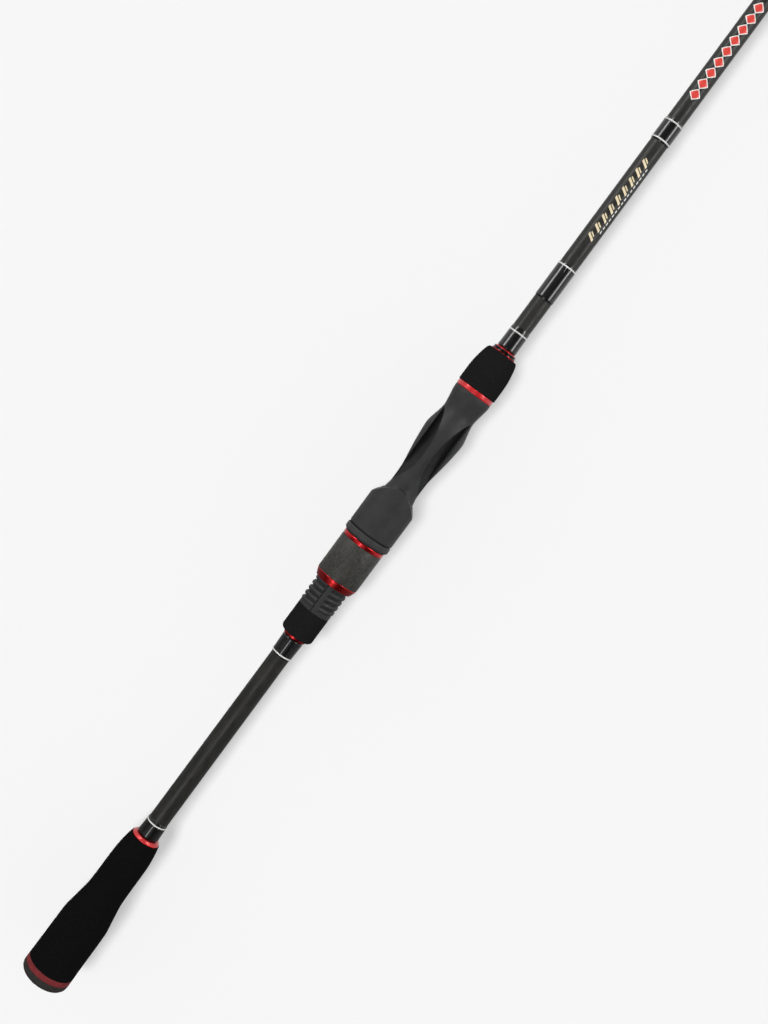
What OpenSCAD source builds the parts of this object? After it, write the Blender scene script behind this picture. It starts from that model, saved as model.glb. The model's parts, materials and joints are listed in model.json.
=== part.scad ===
// A two-piece spinning rod, assembled. +X runs from the butt to the tip and +Z is up.
// The reel foot and the line guides are on the -Z side.
// The origin is the centre of the butt cap's flat end. Lengths are in millimetres.

/* [Blank] */
// Overall length from the butt cap to the tip-top
rod_length = 2100; // [2090:5:2160]
// Radius of the butt section at the butt end
butt_r = 5.92; // [5.9:0.01:5.95]
// Radius that the lower blank loses for each millimetre of length
lower_taper = 0.00158; // [0.0015:0.00001:0.0016]
// Radius that the upper part of the butt section loses for each millimetre
upper_taper = 0.0031; // [0.003:0.0001:0.0032]
// Wall of the butt section
butt_wall = 1.1; // [0.9:0.1:1.4]
// Wall of the tip section over the ferrule
tip_wall = 0.8; // [0.7:0.05:0.9]
// Radius of the tip section where it enters the tip-top
tip_end_r = 0.9; // [0.85:0.01:0.95]
// Where the tip section's open end comes when the rod is assembled
ferrule_x = 1003; // [1000:1:1008]
// How deep the butt section goes into the tip section
ferrule_depth = 62; // [55:1:64]

/* [Rear grip] */
// Radius of the butt cap and of the red ring beside it
cap_r = 14.5; // [14.4:0.05:14.8]
// Thickness of the butt cap
cap_length = 5.8; // [5:0.1:6]
// Length of the red ring in front of the cap
cap_ring_length = 3.5; // [3:0.1:4]
// Radius of the grip's thick end
grip_r = 14.3; // [14.1:0.05:14.4]
// Radius of the grip's neck
grip_neck_r = 10.95; // [10.7:0.05:11.1]
// Where the grip ends
grip_end = 101.3; // [101:0.1:101.6]

/* [Reel seat thread and nut] */
// Where the threaded barrel starts
barrel_x = 261.5; // [261:0.5:261.5]
// Radius at the root of the thread
thread_root_r = 9.6; // [9.5:0.05:9.65]
// Height of the thread
thread_height = 0.5; // [0.4:0.05:0.5]
// Pitch of the thread
thread_pitch = 3.4; // [3.2:0.1:3.6]
// Radius of the lock nut's barrel
nut_r = 12.6; // [12.5:0.05:12.7]
// Where the nut's rear ring starts
nut_x = 279.1; // [279:0.1:279.3]
// Length of the nut's barrel between its two rings
nut_barrel_length = 22.9; // [22.5:0.1:22.9]

/* [Reel seat body and hoods] */
// Radius of the moving hood
hood_r = 13.56; // [13.5:0.02:13.7]
// How far the hood's front edge reaches along the top and bottom
hood_front = 343.2; // [342.5:0.1:343.5]
// How far the hood's front edge falls back at the sides
hood_arch = 10; // [8:0.5:11]
// Radius of the palm swell of the seat body
swell_r = 11.73; // [11.6:0.01:11.85]
// Radius of the waist behind the fixed hood
waist_r = 9.5; // [9.45:0.01:9.6]
// Radius of the dark core that shows through the windows
core_r = 7.8; // [7.6:0.05:7.85]
// Half the width of the spine between the windows at its narrowest
spine_half = 2.45; // [2.3:0.05:2.6]
// Height of the bed that the reel foot lies on, below the rod's axis
bed_drop = 9.6; // [9.5:0.05:9.65]

/* [Fore grip] */
// Radius of the fore grip
fore_grip_r = 11.48; // [11.3:0.02:11.6]
// Where the fore grip ends
fore_grip_end = 432.9; // [432.5:0.1:433.2]

/* [Guides] */
// Thickness of a guide's ring holder, measured outwards from the ceramic ring
holder_wall = 0.8; // [0.6:0.1:1]
// Radius of the struts of the largest guide
strut_r = 0.75; // [0.6:0.05:0.8]

/* [Hidden] */
$fn = 48;
FOREVER = 40;              // radius that is outside every part of the handle
FIT = 0.03;                // radial running clearance of the ferrule

upper_start = 700;         // the blank's taper steepens here
male_end = ferrule_x + ferrule_depth;
blank_start = 3;           // the blank's butt end stops inside the cap
grip_start = cap_length + cap_ring_length;
wrap_edge = 0.04;          // height at which the epoxy of a wrap feathers out
wrap_ramp = 1;             // length over which it does
band_w = 0.8;              // width of a silver band

sleeve_x = 244.4;          // rear edge of the sleeve behind the thread
barrel_end = 320;          // the thread barrel meets the seat body here
barrel_bore = 7.2;
thread_x = barrel_x + 2.5; // phase of the helix at the top of the barrel
seat_end = 406.7;          // front of the seat body
front_ring_end = 409.5;
nut_barrel_x = nut_x + 4;
nut_barrel_end = nut_barrel_x + nut_barrel_length;
nut_front = nut_barrel_end + 2.4;
nut_core_r = 11;
collar_x = nut_front + 0.3;
collar_end = 313.1;
collar_r = 13.8;
hood_bore = thread_root_r + thread_height + 0.2;
key_half = 1.2;            // half width of the key that stops the hood from turning
keyway_angle = 8.6;        // half angle of the thread's keyway
thread_gap = 0.15;         // clearance between the two threads, radial and axial
foot_space_end = 402;      // the reel foot's toe stops here in the fixed hood
hood_pocket_x = 326.5;     // and its heel here in the moving hood

// Thread wraps on the butt section: start, end, thickness at each end, centres of silver bands
REAR_WRAP = [103.2, 114.3, 0.75, 0.3, [112.5]];
SEAT_WRAP = [230.3, 242.9, 0.4, 0.85, [231.5]];
FORE_WRAP = [435.6, 449.5, 0.5, 0.25, [446.6]];
KEEPER_WRAP = [468.5, 490.5, 0.38, 0.38, [489.3]];
ACCENT_WRAP = [568.8, 582.4, 0.48, 0.48, [570.1, 580.9]];
WRAPS = [REAR_WRAP, SEAT_WRAP, FORE_WRAP, KEEPER_WRAP, ACCENT_WRAP];

// Guides from butt to tip: station, ceramic ring radius, drop of its centre below the blank,
// reach of the legs along the rod, and feet (2 for a double-foot guide, 1 for a single-foot one)
GUIDES = [
    [ 900, 10.2, 20.0, 15.0, 2],
    [1105,  6.2, 14.0, 11.0, 2],
    [1305,  4.3,  9.5,  8.5, 2],
    [1485,  3.7,  6.8,  6.0, 1],
    [1638,  3.2,  5.6,  5.0, 1],
    [1772,  3.2,  5.4,  5.0, 1],
    [1892,  3.2,  5.2,  5.0, 1],
    [2000,  3.2,  5.0,  5.0, 1]];
BUTT_GUIDES = [0];
TIP_GUIDES = [for (i = [1:len(GUIDES) - 1]) i];
foot_length = 11;
foot_w = 2.2;
foot_h = 0.8;
TIP_TOP = [rod_length - 0.75, 3.2, 3.6];   // tip-top ring: centre, radius, drop

// ---- Radius of the blank, and shapes turned about the rod's axis ----

function butt_blank_r(x) =
    x <= upper_start ? butt_r - lower_taper * x
                     : butt_r - lower_taper * upper_start - upper_taper * (x - upper_start);
tip_start_r = butt_blank_r(ferrule_x) + FIT + tip_wall;
tip_taper = (tip_start_r - tip_end_r) / (rod_length - 8 - ferrule_x);
function tip_blank_r(x) = tip_start_r - tip_taper * (x - ferrule_x);
function guide_blank_r(i) =
    GUIDES[i][0] < ferrule_x ? butt_blank_r(GUIDES[i][0]) : tip_blank_r(GUIDES[i][0]);

// Point at t along the smooth curve through a list of points, between point i and the next
function through(p, i, t) =
    let (a = p[max(i - 1, 0)], b = p[i], c = p[i + 1], d = p[min(i + 2, len(p) - 1)])
    0.5 * (2 * b + (c - a) * t + (2 * a - 5 * b + 4 * c - d) * t * t
           + (3 * b - a - 3 * c + d) * t * t * t);
function curve(p, steps = 4) =
    concat([for (i = [0:len(p) - 2]) for (k = [0:steps - 1]) through(p, i, k / steps)],
           [p[len(p) - 1]]);

// Turns an outline of [x, radius] points about the X axis
module turned(outline)
    rotate([0, 90, 0]) rotate_extrude() polygon([for (p = outline) [p[1], p[0]]]);

module ring(x0, x1, r_out, r_in)
    turned([[x0, r_in], [x0, r_out], [x1, r_out], [x1, r_in]]);

// The same, closed along the surface of the butt section or of the tip section
module on_butt(outline)
    turned(concat(outline, [for (x = [outline[len(outline) - 1][0], outline[0][0]])
                            [x, butt_blank_r(x)]]));
module on_tip(outline)
    turned(concat(outline, [for (x = [outline[len(outline) - 1][0], outline[0][0]])
                            [x, tip_blank_r(x)]]));

// A cylinder along X with its axis at height z
module rod_x(x0, x1, r, z = 0)
    translate([x0, 0, z]) rotate([0, 90, 0]) cylinder(h = x1 - x0, r = r);

module strut(a, b, r)
    translate(a)
        rotate([0, acos((b - a)[2] / norm(b - a)), atan2((b - a)[1], (b - a)[0])])
            cylinder(h = norm(b - a), r = r, $fn = 24);

// ---- Helical threads ----

// A tube with a helical ridge on one side and a plain wall of radius plain_r on the other.
// section lists [x, radius] over one pitch and starts and ends at the same radius.
// It is a right-hand helix of the given number of turns, and its ridge is cut away inside the keyway.
module threaded_tube(x0, x1, helix_x, turns, section, plain_r, keyway = 0) {
    m = len(section);
    base = section[0][1];
    steps = 36;
    first = keyway * 1.15;
    step = (360 - 2 * first) / (keyway > 0 ? steps - 1 : steps);
    angles = concat([for (k = [0:steps - 1]) first + step * k],
                    [for (a = [360 - keyway, 360 + keyway]) if (keyway > 0) a]);
    n = len(angles);
    last = turns * m;
    function at(x, r, a) = [x, -r * sin(a), r * cos(a)];
    function helix(i, j) =
        let (q = i % m, k = floor(i / m), r = j >= steps ? base : section[q][1])
        at(helix_x + thread_pitch * (k + angles[j] / 360) + section[q][0], r, angles[j]);
    rows = [for (i = [0:last]) for (j = [0:n - 1]) helix(i, j)];
    spare = [for (i = [last + 1:last + m]) helix(i, 0)];
    rings = [for (e = [[x0, base], [x1, base], [x0, plain_r], [x1, plain_r]])
             for (a = angles) at(e[0], e[1], a)];
    first_ring = len(rows) + len(spare);
    function id(i, j) = j == n ? id(i + m, 0) : i > last ? len(rows) + i - last - 1 : i * n + j;
    function rim(e, j) = first_ring + e * n + j % n;
    function two(a, b, c, d) = [[a, b, c], [a, c, d]];
    function fan(hub, spokes) = [for (k = [1:len(spokes) - 1]) [hub, spokes[k - 1], spokes[k]]];
    faces = concat(
        [for (i = [0:last - 1]) for (j = [0:n - 1])
            each two(id(i, j), id(i, j + 1), id(i + 1, j + 1), id(i + 1, j))],
        // the flat ends of the ridge
        [[for (i = [0:m - 1]) id(i, 0)]],
        [[for (i = [last + m - 1:-1:last]) id(i, 0)]],
        // from the first rim to the helix, where the first lap ends beside its start
        [for (j = [0:n - 2]) each two(rim(0, j), rim(0, j + 1), id(0, j + 1), id(0, j))],
        fan(rim(0, n - 1), [rim(0, 0), id(0, 0), id(m - 1, 0), id(m, 0), id(0, n - 1)]),
        // from the helix to the last rim
        [for (j = [1:n - 1]) each two(id(last, j), id(last, j + 1), rim(1, j + 1), rim(1, j))],
        fan(id(last, 1), [rim(1, 1), rim(1, 0), id(last + m, 0), id(last + m - 1, 0), id(last, 0)]),
        // the two flat ends and the plain wall
        [for (j = [0:n - 1]) for (pair = [[2, 0], [1, 3], [3, 2]])
            each two(rim(pair[0], j), rim(pair[0], j + 1), rim(pair[1], j + 1), rim(pair[1], j))]);
    outside = plain_r > base;
    polyhedron(concat(rows, spare, rings),
               [for (f = faces) outside ? f : [for (k = [len(f) - 1:-1:0]) f[k]]]);
}

// ---- Rear grip ----

module butt_cap() color("#23211f") {
    round_r = 4;
    corner = [for (a = [0:15:90]) [round_r * (1 - cos(a)), cap_r - round_r * (1 - sin(a))]];
    turned(concat([[0, 0]], corner,
                  [[cap_length, cap_r], [cap_length, butt_blank_r(cap_length)],
                   [blank_start, butt_blank_r(blank_start)], [blank_start, 0]]));
}

module butt_cap_ring() color("#762328")
    on_butt([[cap_length, cap_r], [grip_start, cap_r]]);

module rear_grip() color("#111111")
    on_butt(curve([[grip_start, grip_r + 0.15], [20, grip_r], [32, grip_r - 0.08], [42, grip_r - 0.25],
                   [47, 13.4], [54, 12.3], [61, grip_neck_r + 0.35], [68, grip_neck_r + 0.08],
                   [80, grip_neck_r], [88, grip_neck_r - 0.15], [93, 10.35], [97.5, 9.7],
                   [grip_end, 8.9]]));

module rear_grip_check() color("#d2191c")
    on_butt([[grip_end, 8.5], [grip_end + 0.7, 8.4], [REAR_WRAP[0], 7.2]]);

// ---- Thread wraps and their silver bands ----

function wrap_r(w, x) = butt_blank_r(x) + w[2] + (w[3] - w[2]) * (x - w[0]) / (w[1] - w[0]);

module butt_wrap(w)
    difference() {
        on_butt([[w[0], butt_blank_r(w[0]) + wrap_edge], [w[0] + wrap_ramp, wrap_r(w, w[0] + wrap_ramp)],
                 [w[1] - wrap_ramp, wrap_r(w, w[1] - wrap_ramp)], [w[1], butt_blank_r(w[1]) + wrap_edge]]);
        for (b = w[4]) ring(b - band_w / 2, b + band_w / 2, FOREVER, 0);
    }

module butt_bands(w)
    for (b = w[4])
        on_butt([[b - band_w / 2, wrap_r(w, b) + 0.05], [b + band_w / 2, wrap_r(w, b) + 0.05]]);

module rear_grip_wrap() color("#050505") butt_wrap(REAR_WRAP);
module seat_rear_wrap() color("#050505") butt_wrap(SEAT_WRAP);
module fore_grip_wrap() color("#050505") butt_wrap(FORE_WRAP);
module accent_wrap() color("#050505") butt_wrap(ACCENT_WRAP);
module trim_bands() color("#d4d4d4") for (w = WRAPS) butt_bands(w);

module keeper_wrap() color("#050505")
    difference() {
        butt_wrap(KEEPER_WRAP);
        hook_keeper_wire();
    }

// ---- Blank ----

module butt_blank() color("#32312e")
    turned([[blank_start, butt_r - lower_taper * blank_start], [upper_start, butt_blank_r(upper_start)],
            [male_end, butt_blank_r(male_end)], [male_end, butt_blank_r(male_end) - butt_wall],
            [upper_start, butt_blank_r(upper_start) - butt_wall],
            [blank_start, butt_r - lower_taper * blank_start - butt_wall]]);

// ---- Sleeve, threaded barrel and arbors behind the seat body ----

module seat_rear_check() color("#b0181c")
    on_butt([[SEAT_WRAP[1], 6.8], [sleeve_x - 0.3, 7], [sleeve_x, 6.9]]);

module seat_rear_sleeve() color("#212122")
    on_butt(concat([[sleeve_x, 8.5], [sleeve_x + 0.4, 9], [sleeve_x + 1.1, 9.45], [sleeve_x + 2.1, 9.7]],
                   [[barrel_x - 1, 9.66], [barrel_x, 9.6]]));

module thread_barrel() color("#333335")
    threaded_tube(barrel_x, barrel_end, thread_x, 15,
                  [[0, thread_root_r], [0.55, thread_root_r + thread_height],
                   [1.45, thread_root_r + thread_height], [2, thread_root_r]],
                  barrel_bore, keyway_angle);

module arbor(x0, x1, r) on_butt([[x0, r], [x1, r]]);
module barrel_arbors() color("#c9b98c")
    for (x = [264, 283, 302]) arbor(x, x + 12, barrel_bore - 0.1);
module core_arbors() color("#c9b98c")
    for (x = [328, 356, 384]) arbor(x, x + 12, core_r - 1.2);

module seat_core() color("#19191c")
    ring(322, 400, core_r, core_r - 1.2);

// ---- Reel seat body, with the fixed hood underneath at its front ----

// Half width of the spine along the seat: the inner edge of each window
SPINE = [[344.3, 8.3], [351, 5.4], [356.5, spine_half + 0.95], [361, spine_half + 0.3],
         [366.4, spine_half], [371.7, spine_half + 0.25], [377, spine_half + 0.9],
         [382.4, 4.6], [387.8, 6.15], [392.9, 8.6]];
window_edge = 8.6;
window_floor = 0.5;

module seat_window(side)
    translate([0, 0, window_floor]) linear_extrude(FOREVER)
        polygon([for (p = concat(curve(SPINE, 3), [[392.9, window_edge + 0.01],
                                                   [344.3, window_edge + 0.01]]))
                 [p[0], side * p[1]]]);

hood_shell_r = 9.4;        // the fixed hood's bulge below the seat
hood_shell_z = -6;
module reel_seat_body() color("#313132")
    difference() {
        union() {
            turned(concat([[barrel_end, 0], [barrel_end, thread_root_r]],
                          curve([[337, thread_root_r], [340.5, 9.1], [344, 8.5], [350, 8.48], [355, 8.7],
                                 [361.3, 9.67], [367.8, 10.6], [374.2, swell_r - 0.44], [380.6, swell_r],
                                 [385, 11.05], [389.2, 10.1], [393.5, waist_r], [397.7, waist_r + 0.46],
                                 [402, 10.69], [404.5, 11.03], [seat_end, 11.05]]),
                          [[seat_end, 0]]));
            // rail under the narrow part, so that the bed is as wide there
            translate([340, -6, -bed_drop - 1]) cube([58, 12, 4]);
            rod_x(388, 396, hood_shell_r, hood_shell_z);
            translate([396, 0, hood_shell_z]) sphere(hood_shell_r);
        }
        rod_x(barrel_end - 1, 400, core_r + 0.05);
        // front bore, along the blank
        turned([[399, 0], [399, butt_blank_r(399)],
                [seat_end + 1, butt_blank_r(seat_end + 1)], [seat_end + 1, 0]]);
        for (side = [-1, 1]) seat_window(side);
        // the bed, and the pocket of the fixed hood
        translate([barrel_end - 1, -FOREVER / 2, -bed_drop - FOREVER])
            cube([388 - barrel_end + 1, FOREVER, FOREVER]);
        intersection() {
            rod_x(387, foot_space_end, hood_shell_r - 1.1, hood_shell_z);
            translate([386, -FOREVER / 2, -bed_drop - FOREVER]) cube([20, FOREVER, FOREVER]);
        }
    }

module seat_front_ring() color("#e13237")
    on_butt([[seat_end, 11], [seat_end + 0.3, 11.15], [front_ring_end - 0.3, 11.15], [front_ring_end, 11]]);

// ---- Moving hood and lock nut ----

// The hood's plan: everything behind a parabola that falls back at the sides
module hood_plan()
    translate([0, 0, -FOREVER / 2]) linear_extrude(FOREVER)
        polygon(concat([for (y = [-16:2:16]) [hood_front - hood_arch * pow(y / hood_r, 2), y]],
                       [[300, 16], [300, -16]]));

hood_neck_r = 12.5;        // bottom of the groove between the collar and the hood
bulge_r = 11.3;            // the hood's bulge over the reel foot's heel
bulge_z = -4.4;
module moving_hood() color("#323234") {
    difference() {
        intersection() {
            union() {
                turned([[collar_end, 0], [collar_end, hood_neck_r], [collar_end + 0.7, hood_neck_r],
                        [collar_end + 0.7, hood_r - 0.2], [collar_end + 1, hood_r],
                        [hood_front + 1, hood_r], [hood_front + 1, 0]]);
                rod_x(hood_pocket_x, hood_front + 1, bulge_r, bulge_z);
                translate([hood_pocket_x, 0, bulge_z]) sphere(bulge_r);
            }
            hood_plan();
        }
        rod_x(collar_end - 1, hood_front + 2, hood_bore);
        intersection() {
            rod_x(hood_pocket_x, hood_front + 2, bulge_r - 1.4, bulge_z);
            translate([hood_pocket_x - 1, -FOREVER / 2, -FOREVER - 4]) cube([FOREVER, FOREVER, FOREVER]);
        }
    }
    // the key that runs in the thread's keyway
    translate([collar_end + 1, -key_half, thread_root_r + 0.15])
        cube([4, 2 * key_half, hood_bore - thread_root_r + 0.6]);
}

module hood_collar() color("#3c3c3c")
    turned([[collar_x, nut_core_r + 0.1], [collar_x, nut_r + 0.1], [collar_x + 1.2, collar_r],
            [collar_end - 0.4, collar_r], [collar_end, collar_r - 0.4], [collar_end, 12.2],
            [collar_x + 1.7, 12.2], [collar_x + 1.7, nut_core_r + 0.1]]);

// In mesh with the barrel: its ridges keep the barrel's phase, whole pitches ahead
module lock_nut() color("#2a2a2b")
    threaded_tube(nut_x + 0.9, nut_barrel_end, thread_x + 5 * thread_pitch, 5,
                  [[1.6, thread_root_r + thread_height + thread_gap], [2.15, thread_root_r + thread_gap],
                   [3.25, thread_root_r + thread_gap], [3.8, thread_root_r + thread_height + thread_gap]],
                  nut_core_r);

module nut_rear_ring() color("#a01218")
    turned([[nut_x, nut_core_r], [nut_x, 11.05], [nut_barrel_x - 0.9, nut_r - 0.25],
            [nut_barrel_x - 0.3, nut_r - 0.1], [nut_barrel_x, nut_r - 0.15], [nut_barrel_x, nut_core_r]]);

module nut_barrel() color("#3e3d39")
    turned([[nut_barrel_x, nut_core_r], [nut_barrel_x, nut_r - 0.1], [nut_barrel_x + 0.3, nut_r],
            [nut_barrel_end - 0.3, nut_r], [nut_barrel_end, nut_r - 0.1], [nut_barrel_end, nut_core_r]]);

module nut_front_ring() color("#a01218")
    turned([[nut_barrel_end, nut_core_r], [nut_barrel_end, nut_r], [nut_front - 0.3, nut_r + 0.06],
            [nut_front, nut_r - 0.1], [nut_front, nut_core_r]]);

// Snap flange that ties the nut to the hood's collar and lets it turn
module nut_retainer() color("#2a2a2b")
    turned([[nut_barrel_end, hood_bore + 0.05], [nut_barrel_end, nut_core_r], [collar_x + 2, nut_core_r],
            [collar_x + 2, 11.9], [collar_end - 0.7, 11.9], [collar_end - 0.7, hood_bore + 0.05]]);

// ---- Fore grip and hook keeper ----

module fore_grip() color("#1d1d1e")
    on_butt(curve([[front_ring_end, fore_grip_r], [413.5, fore_grip_r + 0.02], [417, fore_grip_r],
                   [421, fore_grip_r - 0.15], [425, 10.85], [429.5, 9.98], [431.7, 9.3],
                   [fore_grip_end, 8.5]]));

module fore_grip_check() color("#d2191c")
    on_butt([[fore_grip_end, 7.3], [fore_grip_end + 0.9, 7.3], [fore_grip_end + 1.1, 6.7],
             [fore_grip_end + 1.5, 6.7], [fore_grip_end + 1.7, 7], [FORE_WRAP[0], 6.3]]);

keeper_x = (KEEPER_WRAP[0] + KEEPER_WRAP[1]) / 2;
keeper_z = -butt_blank_r(KEEPER_WRAP[0]) - 0.5;
module hook_keeper_wire() {
    for (s = [-1, 1]) rod_x(keeper_x + (s > 0 ? 3 : -8), keeper_x + (s > 0 ? 8 : -3), 0.45, keeper_z);
    translate([keeper_x, 0, keeper_z]) rotate([90, 180, 0])
        rotate_extrude(angle = 180) translate([3, 0]) circle(0.45, $fn = 24);
}
module hook_keeper() color("#b8b8ba") hook_keeper_wire();

// ---- Tip section ----

module tip_blank() color("#32312e")
    turned([[ferrule_x, butt_blank_r(ferrule_x) + FIT], [ferrule_x, tip_start_r],
            [rod_length - 8, tip_end_r], [rod_length - 8, 0], [rod_length - 110, 0],
            [rod_length - 110, 0.35], [male_end + 3, butt_blank_r(male_end + 3) + FIT]]);

ferrule_wrap_end = ferrule_x + 26;
ferrule_band_x = ferrule_wrap_end - 3;
module ferrule_wrap() color("#050505")
    difference() {
        on_tip([[ferrule_x + 0.5, tip_start_r + 0.35], [ferrule_x + 1.5, tip_start_r + 0.42],
                [ferrule_wrap_end - 1, tip_blank_r(ferrule_wrap_end) + 0.4],
                [ferrule_wrap_end, tip_blank_r(ferrule_wrap_end) + wrap_edge]]);
        ring(ferrule_band_x - band_w / 2, ferrule_band_x + band_w / 2, FOREVER, 0);
    }
module ferrule_band() color("#d4d4d4")
    on_tip([for (x = [ferrule_band_x - band_w / 2, ferrule_band_x + band_w / 2])
            [x, tip_blank_r(ferrule_band_x) + 0.48]]);

// ---- Line guides ----

function ring_bore(r) = r * 0.76;
module ceramic_ring(x, z, r) {
    w = 1.2 + r * 0.09;
    land = w * 0.4;
    translate([x, 0, z])
        turned([[-land / 2, ring_bore(r)], [land / 2, ring_bore(r)], [w / 2, ring_bore(r) + 0.35],
                [w / 2, r - 0.25], [w / 2 - 0.25, r], [0.25 - w / 2, r], [-w / 2, r - 0.25],
                [-w / 2, ring_bore(r) + 0.35]]);
}

module ring_holder(x, z, r)
    translate([x, 0, z]) ring(-0.55, 0.55, r + holder_wall, r);

function guide_z(i) = -guide_blank_r(i) - GUIDES[i][2];
function foot_z(i) = -guide_blank_r(i) - foot_h / 2;

// One flat foot on the blank, pointing along +X (side 1) or -X (side -1)
module guide_foot(i, side) {
    x0 = GUIDES[i][0] + side * (GUIDES[i][3] - 1);
    translate([side > 0 ? x0 : x0 - foot_length, -foot_w / 2, -guide_blank_r(i) - foot_h])
        cube([foot_length, foot_w, foot_h + 1.2]);
}

module guide_solid(i) {
    g = GUIDES[i];
    z = guide_z(i);
    thin = g[1] > 5 ? strut_r : strut_r * 0.75;
    hold = g[1] + holder_wall / 2;
    difference() {
        union() {
            for (side = g[4] == 2 ? [-1, 1] : [1]) guide_foot(i, side);
            // a pair of legs to the front foot, and a single one to the rear foot
            for (s = [-1, 1])
                strut([g[0], s * hold * sin(50), z + hold * cos(50)],
                      [g[0] + g[3], s * 0.4, foot_z(i)], thin);
            if (g[4] == 2)
                strut([g[0], 0, z + hold], [g[0] - g[3], 0, foot_z(i)], thin);
        }
        translate([g[0], 0, z]) ring(-4, 4, g[1], 0);
        guide_blank(i);
    }
    ring_holder(g[0], z, g[1]);
}

// The stretch of blank below a guide, to shape its feet and its wraps
module guide_blank(i) {
    ends = [GUIDES[i][0] - 40, GUIDES[i][0] + 40];
    on_tip_section = GUIDES[i][0] > ferrule_x;
    radii = [for (x = ends) on_tip_section ? tip_blank_r(x) : butt_blank_r(x)];
    turned([[ends[0], 0], [ends[0], radii[0]], [ends[1], radii[1]], [ends[1], 0]]);
}

module guide_wrap(i) {
    g = GUIDES[i];
    for (side = g[4] == 2 ? [-1, 1] : [1]) {
        far = g[0] + side * (g[3] + foot_length + 3);
        near = g[0] + side * (g[3] + 0.8);
        x0 = min(far, near);
        x1 = max(far, near);
        difference() {
            turned([for (p = [[x0, -0.5], [x0, wrap_edge], [x0 + 1, 0.7],
                              [x1 - 1, 0.7], [x1, wrap_edge], [x1, -0.5]])
                    [p[0], guide_blank_r(i) + p[1]]]);
            guide_blank(i);
            guide_foot(i, side);
        }
    }
}

module tip_top_frame() color("#8e8e92") {
    x = TIP_TOP[0];
    tube_x = rod_length - 24;
    turned([[tube_x, tip_blank_r(tube_x)], [tube_x, 1.55], [rod_length - 9, 1.45],
            [rod_length - 8, 1.1], [rod_length - 8, tip_end_r]]);
    ring_holder(x, -TIP_TOP[2], TIP_TOP[1]);
    hold = TIP_TOP[1] + holder_wall / 2;
    difference() {
        for (s = [-1, 1])
            strut([tube_x + 4, s * 1.2, -0.9], [x, s * hold * sin(75), -TIP_TOP[2] + hold * cos(75)], 0.5);
        turned([[tube_x, 0], [tube_x, 1.4], [rod_length - 8, 1.4], [rod_length - 8, 0]]);
        translate([x, 0, -TIP_TOP[2]]) ring(-4, 4, TIP_TOP[1], 0);
    }
}
module tip_top_ring() color("#1b1b1d") ceramic_ring(TIP_TOP[0], -TIP_TOP[2], TIP_TOP[1]);
module tip_top_wrap() color("#050505")
    on_tip([[rod_length - 33, tip_blank_r(rod_length - 33) + wrap_edge], [rod_length - 32, 1.5],
            [rod_length - 24, 1.55]]);

module guide_frame(i) color("#8e8e92") guide_solid(i);
module guide_ring(i) color("#1b1b1d") ceramic_ring(GUIDES[i][0], guide_z(i), GUIDES[i][1]);
module butt_guide_wraps() color("#050505") for (i = BUTT_GUIDES) guide_wrap(i);
module tip_guide_wraps() color("#050505") for (i = TIP_GUIDES) guide_wrap(i);

// ---- The nodes ----

butt_cap();
butt_cap_ring();
rear_grip();
rear_grip_check();
rear_grip_wrap();
butt_blank();
seat_rear_wrap();
seat_rear_check();
seat_rear_sleeve();
thread_barrel();
reel_seat_body();
seat_core();
barrel_arbors();
core_arbors();
seat_front_ring();
fore_grip();
fore_grip_check();
fore_grip_wrap();
hook_keeper();
keeper_wrap();
accent_wrap();
trim_bands();
lock_nut();
nut_barrel();
nut_rear_ring();
nut_front_ring();
nut_retainer();
moving_hood();
hood_collar();
tip_blank();
ferrule_wrap();
ferrule_band();
butt_guide_wraps();
tip_guide_wraps();
tip_top_frame();
tip_top_ring();
tip_top_wrap();
for (i = [0:len(GUIDES) - 1]) {
    guide_frame(i);
    guide_ring(i);
}
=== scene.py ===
"""The looks of the spinning rod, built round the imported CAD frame.

Outlines and sizes are in millimetres; the meshes are in metres, in the frame's own axes:
+X runs from the butt to the tip, +Z is up, and the line guides are on the -Z side.
"""

import json
import math

import bmesh
import bpy
from mathutils import Matrix, Vector, noise

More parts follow.
